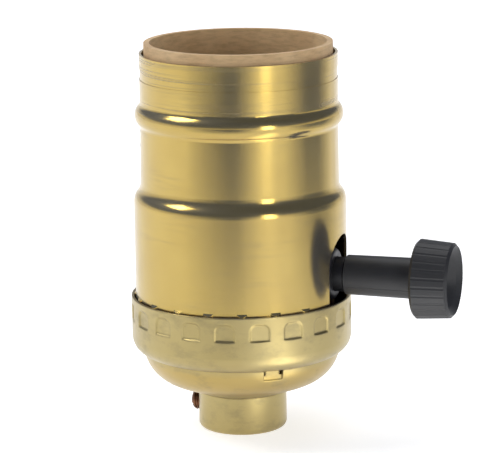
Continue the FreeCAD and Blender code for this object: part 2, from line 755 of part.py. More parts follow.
def feed_strap():
    """Finger beside the rotor, led up to the foot of the centre contact."""
    x = (finger_x, finger_x + plate)
    finger = slab(x, (finger_tip, strap_far), (finger_low_z, finger_high_z))
    leg = slab(x, (strap_near, strap_far), (spindle_z, island_top_z + plate))
    top_z = (island_top_z, island_top_z + plate)
    across = slab((contact_foot_x, x[1]), (strap_near, strap_far), top_z)
    foot = slab((contact_foot_x, contact_rivet_x + contact_rivet_head_r),
                (-contact_half_width, strap_far), top_z)
    body = finger.fuse([leg, across, foot]).removeSplitter()
    return body.cut(rod(contact_rivet_r, (contact_rivet_x,) * 2, z=(spindle_z, screw_shell_top_z)))


# --- centre contact ---------------------------------------------------------------------
def centre_contact():
    """Springy tongue: flat foot, slope up to a rounded crest and a turned-down tip."""
    foot_z = island_top_z + plate
    crest_z = foot_z + contact_rise
    side_z = crest_z - contact_crest_drop
    start = point(contact_foot_x, foot_z)
    knee = point(contact_rivet_x + contact_rivet_head_r + contact_knee_gap, foot_z)
    near = point(contact_crest_x - contact_crest_half, side_z)
    far = point(contact_crest_x + contact_crest_half, side_z)
    edges = [line(start, knee), line(knee, near)]
    edges += [arc(near, point(contact_crest_x, crest_z), far)]
    edges += [line(far, point(contact_tip_x, crest_z - contact_tip_drop))]
    lower = Part.Wire(edges)
    upper = lower.makeOffset2D(contact_leaf, 0, False, True, True)
    ends = [line(lower.OrderedVertexes[index].Point, upper.OrderedVertexes[index].Point)
            for index in (0, -1)]
    tongue = prism(lower.Edges + upper.Edges + ends, FreeCAD.Vector(0, 2 * contact_half_width, 0))
    tongue.translate(FreeCAD.Vector(0, -contact_half_width, 0))
    hole = rod(contact_rivet_r, (contact_rivet_x,) * 2, z=(spindle_z, screw_shell_top_z))
    return tongue.cut(hole)


def centre_contact_rivet():
    x = (contact_rivet_x, contact_rivet_x)
    seat_z = island_top_z + plate + contact_leaf
    tail_low_z = contact_tail_z - contact_rivet_head
    shank = rod(contact_rivet_r, x, z=(tail_low_z, seat_z))
    head = rod(contact_rivet_head_r, x, z=(seat_z, seat_z + contact_rivet_head))
    tail = rod(contact_rivet_head_r, x, z=(tail_low_z, contact_tail_z))
    return shank.fuse([head, tail]).removeSplitter()


# --- switch --------------------------------------------------------------------------
def on_spindle(radius, x):
    return rod(radius, x=x, z=(spindle_z, spindle_z))


def square_bar(side, x):
    half = side / 2
    return slab(x, (-half, half), (spindle_z - half, spindle_z + half))


def square_side():
    return spindle_r * math.sqrt(2)


def spindle():
    """Steel spindle: round in its bearings, square where it drives the rotor."""
    back = on_spindle(spindle_r, (spindle_back, square_start))
    drive = square_bar(square_side(), (square_start, square_end))
    front = on_spindle(spindle_r, (square_end, spindle_end))
    groove_x = (square_start - clip, square_start)
    groove = on_spindle(spindle_r + overrun, groove_x).cut(on_spindle(clip_groove_r, groove_x))
    return back.cut(groove).fuse([drive, front]).removeSplitter()


def spindle_clip():
    x = (square_start - clip, square_start)
    washer = on_spindle(clip_r, x).cut(on_spindle(clip_groove_r, x))
    mouth = slab(x, (-clip_groove_r * 0.8, clip_groove_r * 0.8), (spindle_z - clip_r, spindle_z))
    return washer.cut(mouth)


def spindle_bushing():
    """Flanged bushing held between the two halves of the body."""
    flange_x = (chamber_half_length - bushing_flange, chamber_half_length)
    flange = on_spindle(bushing_flange_r, flange_x)
    barrel = on_spindle(bushing_r, (flange_x[0], bushing_reach))
    bore = on_spindle(spindle_r + running_gap, (0, bushing_reach + overrun))
    return flange.fuse(barrel).cut(bore).removeSplitter()


def switch_rotor():
    """Moulded rotor: contact disc, front hub and a four-sided detent cam."""
    flats = square_bar(2 * cam_half_flats, (square_start, rotor_back))
    cam = on_spindle(cam_corner_r, (square_start, rotor_back)).common(flats)
    disc = on_spindle(chamber_r - rotor_gap, (rotor_back, rotor_front))
    hub = on_spindle(rotor_hub_r, (rotor_front, square_end))
    bore = square_bar(square_side(), (square_start - overrun, square_end + overrun))
    body = disc.fuse([cam, hub]).cut([bore] + bridge_rivet_shanks())
    return body.removeSplitter()


def bridge_rivet_shanks():
    shanks = []
    for side in (-1, 1):
        z = spindle_z + side * bridge_rivet_at
        shanks.append(rod(bridge_rivet_r, x=(0, rotor_front + bridge), z=(z, z)))
    return shanks


def rotor_contact():
    """Brass bridge on the rotor's face: upright when the lamp is off."""
    x = (rotor_front, rotor_front + bridge)
    half = bridge_width / 2
    reach = chamber_r - rotor_gap - bridge_inset
    bar = slab(x, (-half, half), (spindle_z - reach, spindle_z + reach))
    bar = bar.fuse(on_spindle(rotor_hub_r + bridge_ring, x))
    bar = bar.common(on_spindle(reach, x)).cut(on_spindle(rotor_hub_r, x))
    return bar.cut(bridge_rivet_shanks()).removeSplitter()


def rotor_contact_rivets():
    return Part.makeCompound(bridge_rivet_shanks())


def leaf_box():
    """Where the leaf lies: across the cam, just clear of the circle of its corners."""
    middle = (square_start + rotor_back) / 2
    x = (middle - leaf_width / 2, middle + leaf_width / 2)
    z = spindle_z + leaf_at
    return x, (-leaf_half_length, leaf_half_length), (z, z + leaf)


def detent_spring():
    """Flat leaf that the cam's corners pass under."""
    return slab(*leaf_box())


# --- knob ----------------------------------------------------------------------------
def knob_section():
    """Half section of the knob, as radius against distance along the spindle."""
    taper = (head_back_r - head_front_r) / (head_front - head_back)
    back_r = head_back_r - head_edge * taper
    front_r = head_front_r + head_edge * taper
    fillet_start = point(stem_end_r, head_back - stem_fillet)
    fillet_end = point(stem_end_r + stem_fillet, head_back)
    fillet_centre = point(stem_end_r + stem_fillet, head_back - stem_fillet)
    edges = [line(point(spindle_r, stem_start), point(stem_start_r, stem_start))]
    edges.append(line(point(stem_start_r, stem_start), fillet_start))
    edges.append(arc_about(fillet_centre, stem_fillet, 180, 90))
    outline = [fillet_end, point(head_back_r - head_edge, head_back)]
    outline += [point(back_r, head_back + head_edge), point(front_r, head_front - head_edge)]
    outline += [point(head_front_r - head_edge, head_front)]
    outline += [point(dish_r, head_front - dish_rim)]
    edges += polyline(outline)
    floor_x = head_front - dish_depth
    dish_edge = point(dish_r, head_front - dish_rim)
    floor_edge = point(dish_r - dish_draft, floor_x)
    edges += polyline([dish_edge, floor_edge, point(0, floor_x), point(0, knob_bore_end),
                       point(spindle_r, knob_bore_end), point(spindle_r, stem_start)])
    return edges


def knob():
    """Moulded knob: long stem, tapered fluted head and a dished front."""
    body = turned(knob_section())
    middle_r = (head_back_r + head_front_r) / 2
    lean = math.degrees(math.atan((head_back_r - head_front_r) / (head_front - head_back)))
    flute = rod(flute_r, z=(head_back - overrun, head_front + overrun))
    flute.rotate(point(0, (head_back + head_front) / 2), FreeCAD.Vector(0, 1, 0), -lean)
    flute.translate(FreeCAD.Vector(middle_r + flute_r - flute_depth, 0, 0))
    angles = [turn * 360 / flute_count for turn in range(flute_count)]
    body = body.cut(round_the_axis(flute, angles))
    body.rotate(CENTRE, FreeCAD.Vector(0, 1, 0), 90)
    body.translate(FreeCAD.Vector(0, 0, spindle_z))
    return body


PIECES = [
    outer_shell, insulating_sleeve, cap, cap_hub, hub_set_screw, cap_liner, screw_shell,
    body_upper, body_lower, body_rivets, centre_contact, centre_contact_rivet, feed_strap,
    hot_terminal_plate, hot_terminal_screw, neutral_terminal_plate, neutral_terminal_screw,
    spindle_bushing, spindle, spindle_clip, switch_rotor, rotor_contact,
    rotor_contact_rivets, detent_spring, knob,
]

os.makedirs("parts", exist_ok=True)
for piece in PIECES:
    piece().exportStep("parts/" + piece.__name__ + ".step")
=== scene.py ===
import math

import bmesh
import bpy
from mathutils import Matrix, Vector


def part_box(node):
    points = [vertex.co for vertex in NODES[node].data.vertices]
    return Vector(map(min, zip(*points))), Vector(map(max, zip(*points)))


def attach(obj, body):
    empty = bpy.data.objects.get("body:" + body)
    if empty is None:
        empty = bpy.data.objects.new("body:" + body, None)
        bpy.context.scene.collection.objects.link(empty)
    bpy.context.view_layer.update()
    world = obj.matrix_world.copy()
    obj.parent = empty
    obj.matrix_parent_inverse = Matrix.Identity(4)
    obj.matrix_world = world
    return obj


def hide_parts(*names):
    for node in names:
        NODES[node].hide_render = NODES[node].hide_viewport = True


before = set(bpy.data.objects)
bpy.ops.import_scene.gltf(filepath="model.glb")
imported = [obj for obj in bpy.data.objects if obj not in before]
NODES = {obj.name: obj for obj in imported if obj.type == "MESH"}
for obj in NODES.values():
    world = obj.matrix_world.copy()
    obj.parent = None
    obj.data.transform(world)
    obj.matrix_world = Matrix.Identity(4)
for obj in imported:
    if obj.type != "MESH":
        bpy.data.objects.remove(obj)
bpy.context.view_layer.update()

# Turn-knob lamp holder. Lengths are in metres, in the part's own frame: +Z up
# the holder's axis and +X along the switch spindle towards the knob.
MM = 0.001


def side_of(node, axis, end):
    """Lowest (end 0) or highest (end 1) value of a node's box along axis 0, 1 or 2."""
    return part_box(node)[end][axis]


def middle_of(node, axis):
    return (side_of(node, axis, 0) + side_of(node, axis, 1)) / 2


SPINDLE_Z = middle_of("spindle", 2)
BODY_TOP_Z = side_of("screw_shell", 2, 0)
SOCKET_TOP_Z = side_of("screw_shell", 2, 1)
SOCKET_R = -side_of("screw_shell", 0, 0)                    # at the rolled mouth
HUB_TOP_Z = side_of("cap_hub", 2, 1)
MOUTH_BAND_Z = side_of("outer_shell", 2, 1) - 11.5 * MM     # handling marks lie above
HEAD_X = side_of("knob", 0, 1) - 6.6 * MM                   # the knob's seam ends here


# --- node helpers ---------------------------------------------------------------
class Nodes:
    """Short calls for building one material's node tree."""

    def __init__(self, name):
        self.material = bpy.data.materials.new(name)
        self.material.use_nodes = True
        self.tree = self.material.node_tree
        self.shader = self.tree.nodes["Principled BSDF"]
        self.output = self.tree.nodes["Material Output"]

    def new(self, kind, **settings):
        node = self.tree.nodes.new("ShaderNode" + kind)
        for name, value in settings.items():
            setattr(node, name, value)
        return node

    def link(self, source, target):
        self.tree.links.new(source, target)

    def set(self, **values):
        """Constants on the shader's own sockets."""
        for name, value in values.items():
            self.shader.inputs[name.replace("_", " ")].default_value = value

    def position(self, scale=(1, 1, 1)):
        """The point's own place on the object, in metres, times scale."""
        coordinates = self.new("TexCoord")
        mapping = self.new("Mapping")
        mapping.inputs["Scale"].default_value = scale
        self.link(coordinates.outputs["Object"], mapping.inputs["Vector"])
        return mapping.outputs["Vector"]

    def place_along(self, axis):
        """The point's own X, Y or Z (axis 0, 1 or 2), in metres."""
        split = self.new("SeparateXYZ")
        self.link(self.position(), split.inputs[0])
        return split.outputs[axis]

    def around_the_axis(self, height_scale, across_scale):
        """Fine up the axis and coarse across it, so that noise runs in rings."""
        return self.position((across_scale, across_scale, height_scale))

    def math(self, operation, first, second=None, third=None, clamp=False):
        node = self.new("Math", operation=operation, use_clamp=clamp)
        for index, value in enumerate((first, second, third)):
            if value is None:
                continue
            if isinstance(value, (int, float)):
                node.inputs[index].default_value = value
            else:
                self.link(value, node.inputs[index])
        return node.outputs[0]

    def noise(self, vector, scale, detail, roughness):
        node = self.new("TexNoise")
        node.inputs["Scale"].default_value = scale
        node.inputs["Detail"].default_value = detail
        node.inputs["Roughness"].default_value = roughness
        self.link(vector, node.inputs["Vector"])
        return node.outputs["Fac"]

    def ramp(self, value, stops):
        node = self.new("ValToRGB")
        ramp = node.color_ramp
        while len(ramp.elements) < len(stops):
            ramp.elements.new(0.5)
        for element, (place, colour) in zip(ramp.elements, stops):
            element.position = place
            element.color = (*colour, 1)
        self.link(value, node.inputs["Fac"])
        return node.outputs["Color"]

    def range(self, value, low, high, to_low, to_high):
        node = self.new("MapRange")
        for name, number in (("From Min", low), ("From Max", high),
                             ("To Min", to_low), ("To Max", to_high)):
            node.inputs[name].default_value = number
        self.link(value, node.inputs["Value"])
        return node.outputs["Result"]

    def mix(self, factor, first, second, blend="MIX"):
        """Two colours, each a tuple or another node's output."""
        node = self.new("Mix", data_type="RGBA", blend_type=blend)
        if isinstance(factor, (int, float)):
            node.inputs["Factor"].default_value = factor
        else:
            self.link(factor, node.inputs["Factor"])
        for index, value in ((6, first), (7, second)):
            if isinstance(value, tuple):
                node.inputs[index].default_value = (*value, 1)
            else:
                self.link(value, node.inputs[index])
        return node.outputs[2]

    def soft_edges(self, radius):
        """Normal that rounds sharp edges over to a small radius."""
        node = self.new("Bevel", samples=6)
        node.inputs["Radius"].default_value = radius
        return node.outputs["Normal"]

    def bump(self, height, distance, normal=None):
        """Relief on the shader, distance deep, on top of another normal if one is given."""
        node = self.new("Bump")
        node.inputs["Strength"].default_value = 1.0
        node.inputs["Distance"].default_value = distance
        self.link(height, node.inputs["Height"])
        if normal is not None:
            self.link(normal, node.inputs["Normal"])
        self.link(node.outputs["Normal"], self.shader.inputs["Normal"])
        return node.outputs["Normal"]


# --- brass --------------------------------------------------------------------------
SCUFF_BROWN = (0.22, 0.17, 0.085)
STAIN_BROWN = (0.20, 0.165, 0.075)
# painted reflection: the more saturated gold put on the cap's bowl for the warm light it
# reflects
BOWL_REFLECTION_GOLD = (0.455, 0.322, 0.086)
LACQUER_IOR = 1.75
MOUTH_BAND = 3 * MM                 # over which the handling marks set in


def scuffed(n, surface, rough, amount):
    """Worn patches all over, and lines round the mouth where lamps are changed."""
    marks = n.noise(n.around_the_axis(900, 70), 1.0, 5.0, 0.62)
    patches = n.noise(n.position((1, 1, 2.2)), 70, 3.0, 0.5)
    worn = n.math("MULTIPLY", n.range(marks, 0.52, 0.66, 0.0, 1.0),
                  n.range(patches, 0.46, 0.62, 0.0, amount))
    lines = n.noise(n.around_the_axis(1050, 10), 1.0, 4.0, 0.65)
    band = n.range(n.place_along(2), MOUTH_BAND_Z, MOUTH_BAND_Z + MOUTH_BAND, 0.0, 0.5)
    handled = n.math("MULTIPLY", n.range(lines, 0.55, 0.63, 0.0, 1.0), band)
    handled = n.math("MULTIPLY", handled, n.range(patches, 0.38, 0.52, 0.15, 1.0))
    worn = n.math("MAXIMUM", worn, handled)
    return n.mix(worn, surface, SCUFF_BROWN), n.math("MULTIPLY_ADD", worn, 0.22, rough)


def paint_bowl_reflection(n, surface, low, high):
    """Painted reflection: a zone between two heights, as on the cap's bowl, tinted a more
    saturated gold for the warm light it reflects.
    """
    height = n.place_along(2)
    above = n.range(height, low - 0.3 * MM, low + 0.3 * MM, 0.0, 1.0)
    below = n.range(height, high - 1.2 * MM, high + 0.2 * MM, 1.0, 0.0)
    return n.mix(n.math("MULTIPLY", above, below), surface, BOWL_REFLECTION_GOLD)


def stained(n, surface, rough, amount):
    spots = n.noise(n.position((1, 1, 1.8)), 210, 5.0, 0.68)
    dull = n.range(spots, 0.50, 0.72, 0.0, amount)
    return n.mix(dull, surface, STAIN_BROWN), n.math("MULTIPLY_ADD", dull, 0.25, rough)


def brass(name, colour, deep_colour, roughness, draw_lines, coat, haze, edge=0.0, scuffs=0.0,
          anisotropy=0.0, reflection_heights=None, stains=0.0):
    """Pressed brass: rings left by drawing and polishing, cloudy tarnish, hazy lacquer.

    draw_lines is the rings' depth, coat and haze the lacquer's weight and roughness,
    edge the radius of its rounded edges, and the heights given after anisotropy bound a zone
    of painted reflection, a more saturated gold, as on the cap's bowl.
    """
    n = Nodes(name)
    n.set(Metallic=1.0, Coat_Weight=coat, Coat_Roughness=haze, Coat_IOR=LACQUER_IOR)
    if anisotropy:
        n.set(Anisotropic=anisotropy, Anisotropic_Rotation=0.25)
        tangent = n.new("Tangent", direction_type="RADIAL", axis="Z")
        n.link(tangent.outputs[0], n.shader.inputs["Tangent"])
    rings = n.noise(n.around_the_axis(2600, 40), 1.0, 4.0, 0.6)
    clouds = n.noise(n.position(), 90, 4.0, 0.55)
    surface = n.mix(n.range(clouds, 0.35, 0.7, 0.0, 1.0), colour, deep_colour)
    rough = n.math("MULTIPLY_ADD", clouds, 0.10, roughness - 0.05)
    rough = n.math("ADD", rough, n.math("MULTIPLY_ADD", rings, 0.08, -0.04))
    if scuffs:
        surface, rough = scuffed(n, surface, rough, scuffs)
    # painted reflection: the zone between the two heights is tinted a more saturated gold
    if reflection_heights:
        surface = paint_bowl_reflection(n, surface, *reflection_heights)
    if stains:
        surface, rough = stained(n, surface, rough, stains)
    n.link(surface, n.shader.inputs["Base Color"])
    n.link(n.math("MAXIMUM", rough, 0.05, clamp=True), n.shader.inputs["Roughness"])
    n.bump(rings, draw_lines, n.soft_edges(edge) if edge else None)
    return n.material


# --- other materials ----------------------------------------------------------------
def coppered_steel(name):
    """Steel with a worn copper wash, bare and dark in patches."""
    n = Nodes(name)
    n.set(Metallic=1.0)
    patches = n.noise(n.position(), 900, 5.0, 0.6)
    colour = n.ramp(patches, [(0.30, (0.03, 0.016, 0.012)), (0.52, (0.19, 0.085, 0.045)),
                              (0.75, (0.33, 0.16, 0.09))])
    n.link(colour, n.shader.inputs["Base Color"])
    n.link(n.range(patches, 0.3, 0.7, 0.55, 0.38), n.shader.inputs["Roughness"])
    n.bump(patches, 0.02 * MM)
    return n.material


def zinc_steel(name):
    """Plated steel, a little cloudy."""
    n = Nodes(name)
    n.set(Metallic=1.0)
    grain = n.noise(n.position((1, 1, 0.2)), 1500, 4.0, 0.6)
    colour = n.ramp(grain, [(0.3, (0.42, 0.43, 0.44)), (0.7, (0.64, 0.64, 0.62))])
    n.link(colour, n.shader.inputs["Base Color"])
    n.link(n.range(grain, 0.3, 0.7, 0.36, 0.24), n.shader.inputs["Roughness"])
    n.bump(grain, 0.01 * MM)
    return n.material


def paperboard(name):
    """Tan pressed board: fibres, soft mottling and a pale fuzz."""
    n = Nodes(name)
    n.set(Roughness=0.82, Sheen_Weight=0.15, Sheen_Roughness=0.5)
    n.set(Sheen_Tint=(0.95, 0.85, 0.78, 1))
    fibres = n.noise(n.around_the_axis(1800, 420), 1.0, 5.0, 0.65)
    mottle = n.noise(n.position(), 160, 3.0, 0.5)
    colour = n.ramp(mottle, [(0.30, (0.75, 0.500, 0.255)), (0.70, (0.85, 0.600, 0.325))])
    flecks = n.ramp(fibres, [(0.30, (0.80, 0.78, 0.76)), (0.55, (1, 1, 1)),
                             (0.80, (1.10, 1.08, 1.05))])
    n.link(n.mix(1.0, colour, flecks, "MULTIPLY"), n.shader.inputs["Base Color"])
    n.bump(fibres, 0.05 * MM)
    return n.material


def mould_seam(n, lean_deg):
    """Height of the fine seam on both sides of the knob's stem.

    It lies in a plane through the spindle, lean_deg up from level.
    """
    lean = math.radians(lean_deg)
    sideways = n.math("MULTIPLY", n.place_along(1), math.sin(lean))
    height = n.math("SUBTRACT", n.place_along(2), SPINDLE_Z)
    off = n.math("ABSOLUTE", n.math("MULTIPLY_ADD", height, -math.cos(lean), sideways))
    return n.math("MULTIPLY", n.range(off, 0.05 * MM, 0.16 * MM, 1.0, 0.0),
                  n.range(n.place_along(0), HEAD_X, HEAD_X + 0.3 * MM, 1.0, 0.0))


def moulding(name, colour, high_colour, roughness, grain_depth, grain_scale, seam_deg=None):
    """Moulded plastic with a fine grain, uneven gloss and maybe a seam along the spindle."""
    n = Nodes(name)
    grain = n.noise(n.position(), grain_scale, 3.0, 0.55)
    flow = n.noise(n.position((1, 2, 2)), 130, 3.0, 0.5)
    tint = n.range(flow, 0.35, 0.7, 0.0, 1.0)
    n.link(n.mix(tint, colour, high_colour), n.shader.inputs["Base Color"])
    n.link(n.math("MULTIPLY_ADD", flow, 0.12, roughness - 0.06), n.shader.inputs["Roughness"])
    normal = n.bump(grain, grain_depth)
    if seam_deg is not None:
        n.bump(mould_seam(n, seam_deg), 0.07 * MM, normal)
    return n.material


MATERIALS = {
    "polished_brass": brass(
        "polished_brass", (0.500, 0.352, 0.080), (0.45, 0.31, 0.066), roughness=0.175,
        draw_lines=0.004 * MM, coat=1.0, haze=0.62, scuffs=0.22, anisotropy=0.3),
    "satin_brass": brass(
        "satin_brass", (0.440, 0.348, 0.134), (0.395, 0.303, 0.104), roughness=0.33,
        draw_lines=0.006 * MM, coat=0.75, haze=0.60, edge=0.42 * MM, stains=0.45,
        # the bowl's heights, where a painted reflection tints the brass a more saturated gold
        reflection_heights=(HUB_TOP_Z + 0.4 * MM, HUB_TOP_Z + 5.9 * MM)),
    "contact_brass": brass(
        "contact_brass", (0.58, 0.45, 0.20), (0.52, 0.38, 0.15), roughness=0.24,
        draw_lines=0.004 * MM, coat=0.0, haze=0.1, edge=0.10 * MM),
    "coppered_steel": coppered_steel("coppered_steel"),
    "steel": zinc_steel("steel"),
    "fibre": paperboard("fibre"),
    "black_moulding": moulding(
        "black_moulding", (0.012, 0.012, 0.014), (0.02, 0.02, 0.022), roughness=0.42,
        grain_depth=0.004 * MM, grain_scale=1500),
    "knob_black": moulding(
        "knob_black", (0.027, 0.027, 0.029), (0.034, 0.034, 0.036), roughness=0.48,
        grain_depth=0.006 * MM, grain_scale=2600, seam_deg=28),
}
NODE_SLOTS = {
    "outer_shell": "polished_brass", "cap": "satin_brass", "cap_hub": "satin_brass",
    "hub_set_screw": "coppered_steel", "insulating_sleeve": "fibre", "cap_liner": "fibre",
    "body_upper": "black_moulding", "body_lower": "black_moulding", "body_rivets": "steel",
    "centre_contact": "contact_brass", "centre_contact_rivet": "contact_brass",
    "feed_strap": "contact_brass", "hot_terminal_plate": "contact_brass",
    "hot_terminal_screw": "contact_brass", "neutral_terminal_plate": "steel",
    "neutral_terminal_screw": "steel", "spindle_bushing": "black_moulding", "spindle": "steel",
    "spindle_clip": "steel", "switch_rotor": "black_moulding", "rotor_contact": "contact_brass",
    "rotor_contact_rivets": "contact_brass", "detent_spring": "steel", "knob": "knob_black",
}


def dress(obj, slot):
    obj.data.materials.clear()
    obj.data.materials.append(MATERIALS[slot])


for node, slot in NODE_SLOTS.items():
    dress(NODES[node], slot)


# --- threaded screw shell -----------------------------------------------------------
def grid_piece(name, rows):
    """Smooth mesh over rows of points."""
    mesh = bmesh.new()
    placed = [[mesh.verts.new(point) for point in row] for row in rows]
    for low, high in zip(placed, placed[1:]):
        for index in range(len(low) - 1):
            mesh.faces.new((low[index], low[index + 1], high[index + 1], high[index]))
    bmesh.ops.remove_doubles(mesh, verts=mesh.verts, dist=1e-7)
    bmesh.ops.recalc_face_normals(mesh, faces=mesh.faces)
    data = bpy.data.meshes.new(name)
    mesh.to_mesh(data)
    mesh.free()
    data.polygons.foreach_set("use_smooth", [True] * len(data.polygons))
    obj = bpy.data.objects.new(name, data)
    bpy.context.scene.collection.objects.link(obj)
    return obj


LAMP_PITCH = 25.4 / 7 * MM          # medium Edison base
LAMP_MINOR_R = 12.45 * MM           # inside of the crests
LAMP_THREAD = 0.80 * MM             # from crest to groove
SOCKET_WALL = 0.40 * MM
FOOT_ROUND = 1.3 * MM               # outside of the bend from the flange to the wall
FLANGE_INNER_R = 7.80 * MM
MOUTH_LIP = 0.35 * MM               # the rolled mouth's top, outside the wall's inside
MOUTH_EDGE = 0.22 * MM              # its outer edge, below its top
MOUTH_THROAT = (0.15 * MM, 0.12 * MM)       # its inner edge, outside the wall and below its top
TURN_STEPS = 120                    # faces round the shell
WALL_STEPS = 110                    # faces up its wall
BEND_STEPS = 6                      # faces round its foot's bend

WALL_FOOT_Z = BODY_TOP_Z + FOOT_ROUND
WALL_TOP_Z = SOCKET_TOP_Z - MOUTH_LIP
PLAIN_R = SOCKET_R - MOUTH_LIP - SOCKET_WALL        # inside, where there is no thread


def thread_inner_r(z, turn):
    """Inside of the threaded wall at a height, a share of a turn round."""
    phase = 2 * math.pi * (z / LAMP_PITCH - turn)
    fade = min(1.0, max(0.0, (z - WALL_FOOT_Z) / LAMP_PITCH),
               max(0.0, (WALL_TOP_Z - z) / LAMP_PITCH))
    fade = fade * fade * (3 - 2 * fade)
    wave = LAMP_MINOR_R + LAMP_THREAD / 2 + LAMP_THREAD / 2 * math.cos(phase)
    return PLAIN_R + fade * (wave - PLAIN_R)


def foot_bend(radius):
    """Quarter round from the flange up to the wall's foot."""
    centre_r = PLAIN_R - (FOOT_ROUND - SOCKET_WALL)
    angles = [math.radians(90 * step / BEND_STEPS) for step in range(BEND_STEPS + 1)]
    return [(centre_r + radius * math.sin(angle), WALL_FOOT_Z - radius * math.cos(angle))
            for angle in angles]


def socket_section(turn):
    """Closed outline of the drawn wall: up its outside, over the mouth and down inside."""
    levels = [WALL_FOOT_Z + (WALL_TOP_Z - WALL_FOOT_Z) * step / WALL_STEPS
              for step in range(WALL_STEPS + 1)]
    inner = [(thread_inner_r(z, turn), z) for z in levels]
    outer = [(radius + SOCKET_WALL, z) for radius, z in inner]
    throat_out, throat_down = MOUTH_THROAT
    mouth = [(SOCKET_R, SOCKET_TOP_Z - MOUTH_EDGE), (PLAIN_R + MOUTH_LIP, SOCKET_TOP_Z),
             (PLAIN_R + throat_out, SOCKET_TOP_Z - throat_down)]
    outer_foot = [(FLANGE_INNER_R, BODY_TOP_Z)] + foot_bend(FOOT_ROUND)
    inner_foot = [(FLANGE_INNER_R, BODY_TOP_Z + SOCKET_WALL)]
    inner_foot += foot_bend(FOOT_ROUND - SOCKET_WALL)
    loop = outer_foot + outer + mouth + inner[::-1] + inner_foot[::-1]
    return loop + loop[:1]


def turned_round(section):
    """Rows of points of a section that may change as it goes round Z."""
    rows = []
    for step in range(TURN_STEPS + 1):
        angle = 2 * math.pi * step / TURN_STEPS
        rows.append([(radius * math.cos(angle), radius * math.sin(angle), z)
                     for radius, z in section(step / TURN_STEPS)])
    return rows


socket = grid_piece("threaded_shell", turned_round(socket_section))
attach(socket, "holder")
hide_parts("screw_shell")
dress(socket, "contact_brass")


# --- thread ridges ------------------------------------------------------------------
RIDGE_SINK = 0.03 * MM              # how far a ridge's foot lies inside its wall
RIDGE_STEPS = 72                    # in a turn
HALF_FOOT = 0.45                    # half of a ridge's foot and crest, as shares of its pitch
HALF_CREST = 0.06


def helical_ridge(place, wall_r, rise, pitch, low, high):
    """Rows of one ridge wound round an axis, running out at both ends.

    place turns two measures across the axis and one along it into a point. The ridge
    rises outwards where rise is positive and inwards, as in a bore, where it is negative.
    """
    turns = (high - low) / pitch
    steps = int(turns * RIDGE_STEPS)
    foot_r = wall_r - math.copysign(RIDGE_SINK, rise)
    rows = []
    for step in range(steps + 1):
        share = step / steps
        fade = min(1.0, share * turns * 2, (1 - share) * turns * 2)
        angle = 2 * math.pi * turns * share
        along = low + (high - low) * share
        crest_r = wall_r + rise * fade
        section = [(foot_r, along - HALF_FOOT * pitch), (crest_r, along - HALF_CREST * pitch),
                   (crest_r, along + HALF_CREST * pitch), (foot_r, along + HALF_FOOT * pitch),
                   (foot_r, along - HALF_FOOT * pitch)]
        if rise > 0:
            section.reverse()
        rows.append([place(radius * math.cos(angle), radius * math.sin(angle), height)
                     for radius, height in section])
    return rows


PIPE_PITCH = 25.4 / 27 * MM         # 1/8-27 pipe thread
PIPE_BORE_R = 4.55 * MM
PIPE_RIDGE = 0.24 * MM
PIPE_RUN_OUT = 0.9 * MM             # plain bore left at each end


def along_z(across_x, across_y, along):
    return across_x, across_y, along


pipe_thread = grid_piece("hub_pipe_thread", helical_ridge(
    along_z, PIPE_BORE_R, -PIPE_RIDGE, PIPE_PITCH, PIPE_RUN_OUT, HUB_TOP_Z - PIPE_RUN_OUT))
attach(pipe_thread, "holder")
dress(pipe_thread, "satin_brass")

SCREW_Z = middle_of("hub_set_screw", 2)
SCREW_R = side_of("hub_set_screw", 2, 1) - SCREW_Z
SCREW_PITCH = 0.45 * MM
SCREW_RIDGE = 0.13 * MM
SCREW_LOW_X = side_of("hub_set_screw", 0, 0) + 0.4 * MM     # where its chamfer ends
SCREW_HIGH_X = side_of("hub_set_screw", 0, 0) + 1.22 * MM   # just outside the hub


def along_x(across_y, across_z, along):
    return along, across_y, SCREW_Z + across_z


screw_thread = grid_piece("hub_set_screw_thread", helical_ridge(
    along_x, SCREW_R, SCREW_RIDGE, SCREW_PITCH, SCREW_LOW_X, SCREW_HIGH_X))
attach(screw_thread, "holder")
dress(screw_thread, "coppered_steel")


# --- floor and room -----------------------------------------------------------------
def plane(name, points):
    """Flat four-sided thing of the stage."""
    mesh = bpy.data.meshes.new(name)
    mesh.from_pydata([Vector(p) for p in points], [], [(0, 1, 2, 3)])
    obj = bpy.data.objects.new(name, mesh)
    bpy.context.scene.collection.objects.link(obj)
    return obj


FLOOR_HALF = 2.0
GLOW_NEAR = 0.66                    # the floor's own light round the holder
GLOW_FAR = 0.9                      # and where no lamp reaches
GLOW_GROWS = (0.4, 1.2)             # between these distances from the holder
ROOM_WHITE_TO = math.sin(math.radians(6))
ROOM_DIM_FROM = math.sin(math.radians(14))
ROOM_DIM = (0.105, 0.12, 0.165)


def seen_white(name):
    """Matt white, with some light of its own for camera, mirror and glass rays."""
    n = Nodes(name)
    n.set(Base_Color=(0.82, 0.82, 0.82, 1), Roughness=0.9, Specular_IOR_Level=0.0)
    path = n.new("LightPath")
    seen = n.math("MAXIMUM", path.outputs["Is Camera Ray"], path.outputs["Is Glossy Ray"])
    seen = n.math("MAXIMUM", seen, path.outputs["Is Transmission Ray"])
    away = n.new("VectorMath", operation="LENGTH")
    n.link(n.position(), away.inputs[0])
    strength = n.range(away.outputs["Value"], *GLOW_GROWS, GLOW_NEAR, GLOW_FAR)
    glow = n.new("Emission")
    n.link(n.math("MULTIPLY", seen, strength), glow.inputs["Strength"])
    both = n.new("AddShader")
    n.link(n.shader.outputs[0], both.inputs[0])
    n.link(glow.outputs[0], both.inputs[1])
    n.link(both.outputs[0], n.output.inputs["Surface"])
    return n.material


def add_floor():
    floor = plane("floor", [(-FLOOR_HALF, -FLOOR_HALF, 0), (FLOOR_HALF, -FLOOR_HALF, 0),
                            (FLOOR_HALF, FLOOR_HALF, 0), (-FLOOR_HALF, FLOOR_HALF, 0)])
    floor.data.materials.append(seen_white("floor_white"))


